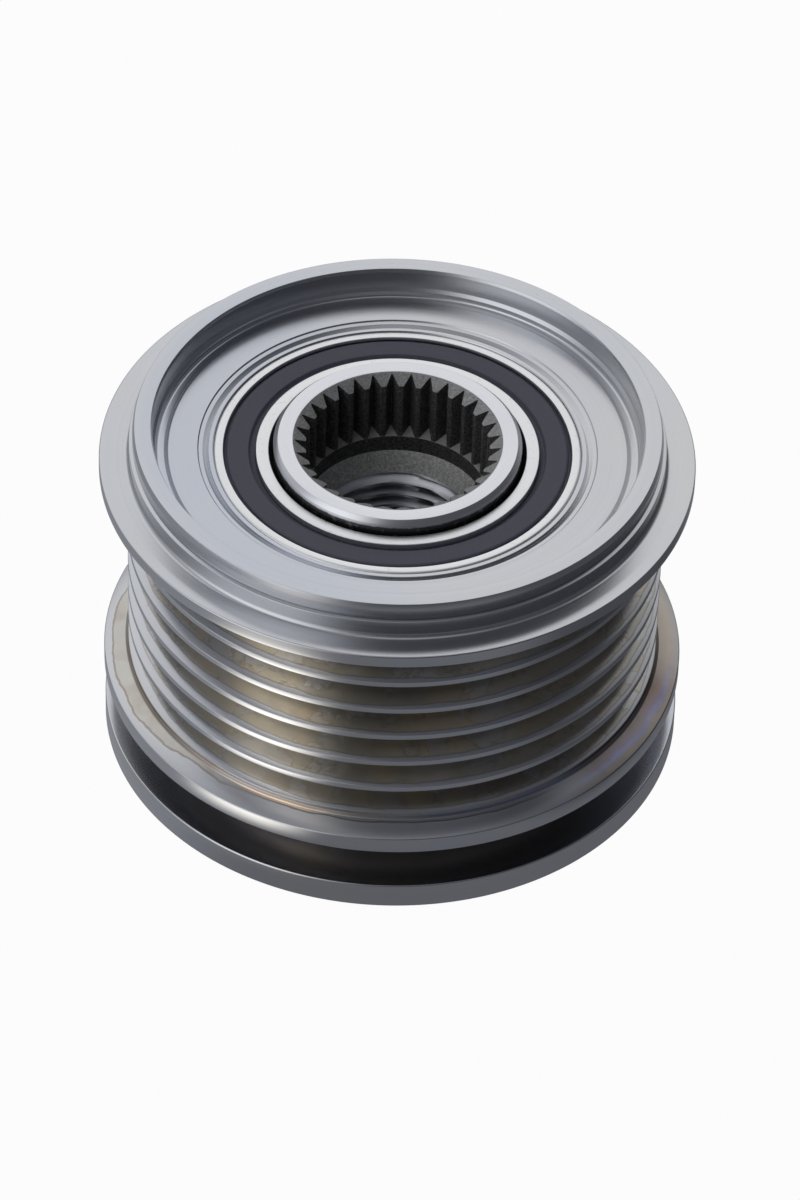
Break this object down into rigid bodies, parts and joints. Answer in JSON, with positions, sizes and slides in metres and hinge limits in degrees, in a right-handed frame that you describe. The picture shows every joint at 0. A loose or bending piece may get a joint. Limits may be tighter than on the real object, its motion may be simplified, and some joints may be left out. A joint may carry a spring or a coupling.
{
  "type": "overrunning alternator pulley",
  "caption": "Grooved steel belt pulley on two sealed ball bearings with a roller one-way clutch, round a hub with a serrated socket and a threaded bore.",
  "frame": {"origin": "on the axis, in the plane of the hub's rear face", "axes": "+Z along the axis from the alternator side to the front, +X to the right in the picture"},
  "size_m": [0.06, 0.06, 0.0391],
  "materials": {
    "pulley_steel": "turned",
    "hub_steel": "ground",
    "bearing_steel": "ground",
    "seal_rubber": "matt",
    "ball_cage_polymer": "moulded",
    "clutch_cage_polymer": "moulded",
    "clutch_steel": "hardened and ground",
    "ball_steel": "polished",
    "spring_steel": "rolled strip"
  },
  "bodies": {
    "hub_side": {"hub": "hub_steel", "front_inner_ring": "bearing_steel", "rear_inner_ring": "bearing_steel", "clutch_sleeve": "clutch_steel"},
    "pulley_side": {"pulley": "pulley_steel", "front_outer_ring": "bearing_steel", "rear_outer_ring": "bearing_steel", "front_outer_seal": "seal_rubber", "front_inner_seal": "seal_rubber", "rear_outer_seal": "seal_rubber", "rear_inner_seal": "seal_rubber", "clutch_race": "clutch_steel", "clutch_cage": "clutch_cage_polymer", "clutch_spring_01": "spring_steel", "clutch_spring_02": "spring_steel", "clutch_spring_03": "spring_steel", "clutch_spring_04": "spring_steel", "clutch_spring_05": "spring_steel", "clutch_spring_06": "spring_steel", "clutch_spring_07": "spring_steel", "clutch_spring_08": "spring_steel"},
    "front_ball_cage": {"front_cage": "ball_cage_polymer"},
    "rear_ball_cage": {"rear_cage": "ball_cage_polymer"},
    "front_ball_01_roll": {"front_ball_01": "ball_steel"},
    "front_ball_02_roll": {"front_ball_02": "ball_steel"},
    "front_ball_03_roll": {"front_ball_03": "ball_steel"},
    "front_ball_04_roll": {"front_ball_04": "ball_steel"},
    "front_ball_05_roll": {"front_ball_05": "ball_steel"},
    "front_ball_06_roll": {"front_ball_06": "ball_steel"},
    "front_ball_07_roll": {"front_ball_07": "ball_steel"},
    "front_ball_08_roll": {"front_ball_08": "ball_steel"},
    "front_ball_09_roll": {"front_ball_09": "ball_steel"},
    "front_ball_10_roll": {"front_ball_10": "ball_steel"},
    "front_ball_11_roll": {"front_ball_11": "ball_steel"},
    "front_ball_12_roll": {"front_ball_12": "ball_steel"},
    "front_ball_13_roll": {"front_ball_13": "ball_steel"},
    "front_ball_14_roll": {"front_ball_14": "ball_steel"},
    "rear_ball_01_roll": {"rear_ball_01": "ball_steel"},
    "rear_ball_02_roll": {"rear_ball_02": "ball_steel"},
    "rear_ball_03_roll": {"rear_ball_03": "ball_steel"},
    "rear_ball_04_roll": {"rear_ball_04": "ball_steel"},
    "rear_ball_05_roll": {"rear_ball_05": "ball_steel"},
    "rear_ball_06_roll": {"rear_ball_06": "ball_steel"},
    "rear_ball_07_roll": {"rear_ball_07": "ball_steel"},
    "rear_ball_08_roll": {"rear_ball_08": "ball_steel"},
    "rear_ball_09_roll": {"rear_ball_09": "ball_steel"},
    "rear_ball_10_roll": {"rear_ball_10": "ball_steel"},
    "rear_ball_11_roll": {"rear_ball_11": "ball_steel"},
    "rear_ball_12_roll": {"rear_ball_12": "ball_steel"},
    "rear_ball_13_roll": {"rear_ball_13": "ball_steel"},
    "rear_ball_14_roll": {"rear_ball_14": "ball_steel"},
    "clutch_roller_01_roll": {"clutch_roller_01": "ball_steel"},
    "clutch_roller_02_roll": {"clutch_roller_02": "ball_steel"},
    "clutch_roller_03_roll": {"clutch_roller_03": "ball_steel"},
    "clutch_roller_04_roll": {"clutch_roller_04": "ball_steel"},
    "clutch_roller_05_roll": {"clutch_roller_05": "ball_steel"},
    "clutch_roller_06_roll": {"clutch_roller_06": "ball_steel"},
    "clutch_roller_07_roll": {"clutch_roller_07": "ball_steel"},
    "clutch_roller_08_roll": {"clutch_roller_08": "ball_steel"}
  },
  "joints": [
    {"name": "pulley_spin", "type": "hinge", "parent": "hub_side", "child": "pulley_side", "pos_m": [0, 0, 0], "axis": [0, 0, 1], "continuous": true},
    {"name": "front_cage_orbit", "type": "hinge", "parent": "hub_side", "child": "front_ball_cage", "pos_m": [0, 0, 0.0325], "axis": [0, 0, 1], "continuous": true},
    {"name": "front_ball_01_spin", "type": "hinge", "parent": "front_ball_cage", "child": "front_ball_01_roll", "pos_m": [0.0155, 0, 0.0325], "axis": [0, 0, 1], "continuous": true},
    {"name": "front_ball_02_spin", "type": "hinge", "parent": "front_ball_cage", "child": "front_ball_02_roll", "pos_m": [0.01397, 0.00673, 0.0325], "axis": [0, 0, 1], "continuous": true},
    {"name": "front_ball_03_spin", "type": "hinge", "parent": "front_ball_cage", "child": "front_ball_03_roll", "pos_m": [0.00966, 0.01212, 0.0325], "axis": [0, 0, 1], "continuous": true},
    {"name": "front_ball_04_spin", "type": "hinge", "parent": "front_ball_cage", "child": "front_ball_04_roll", "pos_m": [0.00345, 0.01511, 0.0325], "axis": [0, 0, 1], "continuous": true},
    {"name": "front_ball_05_spin", "type": "hinge", "parent": "front_ball_cage", "child": "front_ball_05_roll", "pos_m": [-0.00345, 0.01511, 0.0325], "axis": [0, 0, 1], "continuous": true},
    {"name": "front_ball_06_spin", "type": "hinge", "parent": "front_ball_cage", "child": "front_ball_06_roll", "pos_m": [-0.00966, 0.01212, 0.0325], "axis": [0, 0, 1], "continuous": true},
    {"name": "front_ball_07_spin", "type": "hinge", "parent": "front_ball_cage", "child": "front_ball_07_roll", "pos_m": [-0.01397, 0.00673, 0.0325], "axis": [0, 0, 1], "continuous": true},
    {"name": "front_ball_08_spin", "type": "hinge", "parent": "front_ball_cage", "child": "front_ball_08_roll", "pos_m": [-0.0155, 0, 0.0325], "axis": [0, 0, 1], "continuous": true},
    {"name": "front_ball_09_spin", "type": "hinge", "parent": "front_ball_cage", "child": "front_ball_09_roll", "pos_m": [-0.01397, -0.00673, 0.0325], "axis": [0, 0, 1], "continuous": true},
    {"name": "front_ball_10_spin", "type": "hinge", "parent": "front_ball_cage", "child": "front_ball_10_roll", "pos_m": [-0.00966, -0.01212, 0.0325], "axis": [0, 0, 1], "continuous": true},
    {"name": "front_ball_11_spin", "type": "hinge", "parent": "front_ball_cage", "child": "front_ball_11_roll", "pos_m": [-0.00345, -0.01511, 0.0325], "axis": [0, 0, 1], "continuous": true},
    {"name": "front_ball_12_spin", "type": "hinge", "parent": "front_ball_cage", "child": "front_ball_12_roll", "pos_m": [0.00345, -0.01511, 0.0325], "axis": [0, 0, 1], "continuous": true},
    {"name": "front_ball_13_spin", "type": "hinge", "parent": "front_ball_cage", "child": "front_ball_13_roll", "pos_m": [0.00966, -0.01212, 0.0325], "axis": [0, 0, 1], "continuous": true},
    {"name": "front_ball_14_spin", "type": "hinge", "parent": "front_ball_cage", "child": "front_ball_14_roll", "pos_m": [0.01397, -0.00673, 0.0325], "axis": [0, 0, 1], "continuous": true},
    {"name": "rear_cage_orbit", "type": "hinge", "parent": "hub_side", "child": "rear_ball_cage", "pos_m": [0, 0, 0.0065], "axis": [0, 0, 1], "continuous": true},
    {"name": "rear_ball_01_spin", "type": "hinge", "parent": "rear_ball_cage", "child": "rear_ball_01_roll", "pos_m": [0.0155, 0, 0.0065], "axis": [0, 0, 1], "continuous": true},
    {"name": "rear_ball_02_spin", "type": "hinge", "parent": "rear_ball_cage", "child": "rear_ball_02_roll", "pos_m": [0.01397, 0.00673, 0.0065], "axis": [0, 0, 1], "continuous": true},
    {"name": "rear_ball_03_spin", "type": "hinge", "parent": "rear_ball_cage", "child": "rear_ball_03_roll", "pos_m": [0.00966, 0.01212, 0.0065], "axis": [0, 0, 1], "continuous": true},
    {"name": "rear_ball_04_spin", "type": "hinge", "parent": "rear_ball_cage", "child": "rear_ball_04_roll", "pos_m": [0.00345, 0.01511, 0.0065], "axis": [0, 0, 1], "continuous": true},
    {"name": "rear_ball_05_spin", "type": "hinge", "parent": "rear_ball_cage", "child": "rear_ball_05_roll", "pos_m": [-0.00345, 0.01511, 0.0065], "axis": [0, 0, 1], "continuous": true},
    {"name": "rear_ball_06_spin", "type": "hinge", "parent": "rear_ball_cage", "child": "rear_ball_06_roll", "pos_m": [-0.00966, 0.01212, 0.0065], "axis": [0, 0, 1], "continuous": true},
    {"name": "rear_ball_07_spin", "type": "hinge", "parent": "rear_ball_cage", "child": "rear_ball_07_roll", "pos_m": [-0.01397, 0.00673, 0.0065], "axis": [0, 0, 1], "continuous": true},
    {"name": "rear_ball_08_spin", "type": "hinge", "parent": "rear_ball_cage", "child": "rear_ball_08_roll", "pos_m": [-0.0155, 0, 0.0065], "axis": [0, 0, 1], "continuous": true},
    {"name": "rear_ball_09_spin", "type": "hinge", "parent": "rear_ball_cage", "child": "rear_ball_09_roll", "pos_m": [-0.01397, -0.00673, 0.0065], "axis": [0, 0, 1], "continuous": true},
    {"name": "rear_ball_10_spin", "type": "hinge", "parent": "rear_ball_cage", "child": "rear_ball_10_roll", "pos_m": [-0.00966, -0.01212, 0.0065], "axis": [0, 0, 1], "continuous": true},
    {"name": "rear_ball_11_spin", "type": "hinge", "parent": "rear_ball_cage", "child": "rear_ball_11_roll", "pos_m": [-0.00345, -0.01511, 0.0065], "axis": [0, 0, 1], "continuous": true},
    {"name": "rear_ball_12_spin", "type": "hinge", "parent": "rear_ball_cage", "child": "rear_ball_12_roll", "pos_m": [0.00345, -0.01511, 0.0065], "axis": [0, 0, 1], "continuous": true},
    {"name": "rear_ball_13_spin", "type": "hinge", "parent": "rear_ball_cage", "child": "rear_ball_13_roll", "pos_m": [0.00966, -0.01212, 0.0065], "axis": [0, 0, 1], "continuous": true},
    {"name": "rear_ball_14_spin", "type": "hinge", "parent": "rear_ball_cage", "child": "rear_ball_14_roll", "pos_m": [0.01397, -0.00673, 0.0065], "axis": [0, 0, 1], "continuous": true},
    {"name": "clutch_roller_01_spin", "type": "hinge", "parent": "pulley_side", "child": "clutch_roller_01_roll", "pos_m": [-0.01078, 0.01078, 0.0195], "axis": [0, 0, 1], "continuous": true},
    {"name": "clutch_roller_02_spin", "type": "hinge", "parent": "pulley_side", "child": "clutch_roller_02_roll", "pos_m": [-0.01525, 0, 0.0195], "axis": [0, 0, 1], "continuous": true},
    {"name": "clutch_roller_03_spin", "type": "hinge", "parent": "pulley_side", "child": "clutch_roller_03_roll", "pos_m": [-0.01078, -0.01078, 0.0195], "axis": [0, 0, 1], "continuous": true},
    {"name": "clutch_roller_04_spin", "type": "hinge", "parent": "pulley_side", "child": "clutch_roller_04_roll", "pos_m": [0, -0.01525, 0.0195], "axis": [0, 0, 1], "continuous": true},
    {"name": "clutch_roller_05_spin", "type": "hinge", "parent": "pulley_side", "child": "clutch_roller_05_roll", "pos_m": [0.01078, -0.01078, 0.0195], "axis": [0, 0, 1], "continuous": true},
    {"name": "clutch_roller_06_spin", "type": "hinge", "parent": "pulley_side", "child": "clutch_roller_06_roll", "pos_m": [0.01525, 0, 0.0195], "axis": [0, 0, 1], "continuous": true},
    {"name": "clutch_roller_07_spin", "type": "hinge", "parent": "pulley_side", "child": "clutch_roller_07_roll", "pos_m": [0.01078, 0.01078, 0.0195], "axis": [0, 0, 1], "continuous": true},
    {"name": "clutch_roller_08_spin", "type": "hinge", "parent": "pulley_side", "child": "clutch_roller_08_roll", "pos_m": [0, 0.01525, 0.0195], "axis": [0, 0, 1], "continuous": true}
  ],
  "couplings": [
    {"joint": "front_cage_orbit", "follows": "pulley_spin", "ratio": 0.55761},
    {"joint": "front_ball_01_spin", "follows": "pulley_spin", "ratio": 4.2817},
    {"joint": "front_ball_02_spin", "follows": "pulley_spin", "ratio": 4.2817},
    {"joint": "front_ball_03_spin", "follows": "pulley_spin", "ratio": 4.2817},
    {"joint": "front_ball_04_spin", "follows": "pulley_spin", "ratio": 4.2817},
    {"joint": "front_ball_05_spin", "follows": "pulley_spin", "ratio": 4.2817},
    {"joint": "front_ball_06_spin", "follows": "pulley_spin", "ratio": 4.2817},
    {"joint": "front_ball_07_spin", "follows": "pulley_spin", "ratio": 4.2817},
    {"joint": "front_ball_08_spin", "follows": "pulley_spin", "ratio": 4.2817},
    {"joint": "front_ball_09_spin", "follows": "pulley_spin", "ratio": 4.2817},
    {"joint": "front_ball_10_spin", "follows": "pulley_spin", "ratio": 4.2817},
    {"joint": "front_ball_11_spin", "follows": "pulley_spin", "ratio": 4.2817},
    {"joint": "front_ball_12_spin", "follows": "pulley_spin", "ratio": 4.2817},
    {"joint": "front_ball_13_spin", "follows": "pulley_spin", "ratio": 4.2817},
    {"joint": "front_ball_14_spin", "follows": "pulley_spin", "ratio": 4.2817},
    {"joint": "rear_cage_orbit", "follows": "pulley_spin", "ratio": 0.55761},
    {"joint": "rear_ball_01_spin", "follows": "pulley_spin", "ratio": 4.2817},
    {"joint": "rear_ball_02_spin", "follows": "pulley_spin", "ratio": 4.2817},
    {"joint": "rear_ball_03_spin", "follows": "pulley_spin", "ratio": 4.2817},
    {"joint": "rear_ball_04_spin", "follows": "pulley_spin", "ratio": 4.2817},
    {"joint": "rear_ball_05_spin", "follows": "pulley_spin", "ratio": 4.2817},
    {"joint": "rear_ball_06_spin", "follows": "pulley_spin", "ratio": 4.2817},
    {"joint": "rear_ball_07_spin", "follows": "pulley_spin", "ratio": 4.2817},
    {"joint": "rear_ball_08_spin", "follows": "pulley_spin", "ratio": 4.2817},
    {"joint": "rear_ball_09_spin", "follows": "pulley_spin", "ratio": 4.2817},
    {"joint": "rear_ball_10_spin", "follows": "pulley_spin", "ratio": 4.2817},
    {"joint": "rear_ball_11_spin", "follows": "pulley_spin", "ratio": 4.2817},
    {"joint": "rear_ball_12_spin", "follows": "pulley_spin", "ratio": 4.2817},
    {"joint": "rear_ball_13_spin", "follows": "pulley_spin", "ratio": 4.2817},
    {"joint": "rear_ball_14_spin", "follows": "pulley_spin", "ratio": 4.2817},
    {"joint": "clutch_roller_01_spin", "follows": "pulley_spin", "ratio": 9.1333},
    {"joint": "clutch_roller_02_spin", "follows": "pulley_spin", "ratio": 9.1333},
    {"joint": "clutch_roller_03_spin", "follows": "pulley_spin", "ratio": 9.1333},
    {"joint": "clutch_roller_04_spin", "follows": "pulley_spin", "ratio": 9.1333},
    {"joint": "clutch_roller_05_spin", "follows": "pulley_spin", "ratio": 9.1333},
    {"joint": "clutch_roller_06_spin", "follows": "pulley_spin", "ratio": 9.1333},
    {"joint": "clutch_roller_07_spin", "follows": "pulley_spin", "ratio": 9.1333},
    {"joint": "clutch_roller_08_spin", "follows": "pulley_spin", "ratio": 9.1333}
  ]
}
